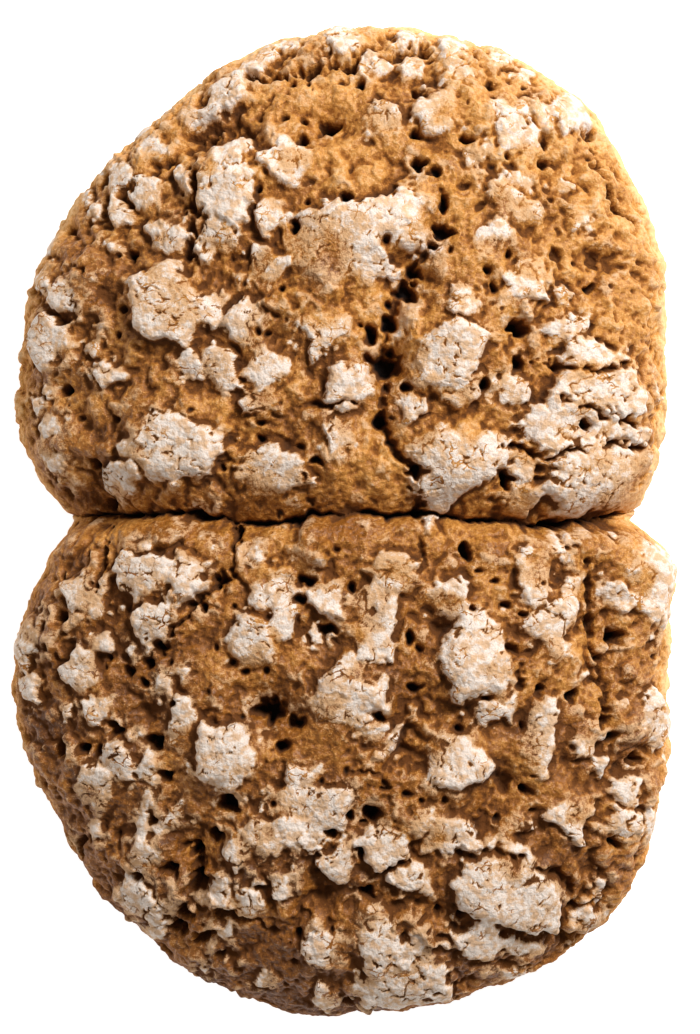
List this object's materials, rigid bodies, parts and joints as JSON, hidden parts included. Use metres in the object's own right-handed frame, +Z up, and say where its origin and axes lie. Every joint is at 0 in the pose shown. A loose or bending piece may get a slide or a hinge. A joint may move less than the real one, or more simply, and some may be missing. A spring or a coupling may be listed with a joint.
{
  "type": "double rye bread roll",
  "caption": "Two flat round rye loaves baked together as one figure-of-eight roll, with a craggy, torn, floured crust and a flat base.",
  "frame": {"origin": "middle of the roll's bounding box, at the level of its flat base", "axes": "+Z up through the crust, +Y along the pair from one roll to the other, +X along the seam between them"},
  "size_m": [0.1343, 0.2009, 0.0351],
  "materials": {
    "rye_crust": "matt, rough, torn golden-brown rye crust with dark open pores and patches of dry white flour"
  },
  "bodies": {
    "root": {"rye_roll_pair": "rye_crust"}
  },
  "joints": []
}
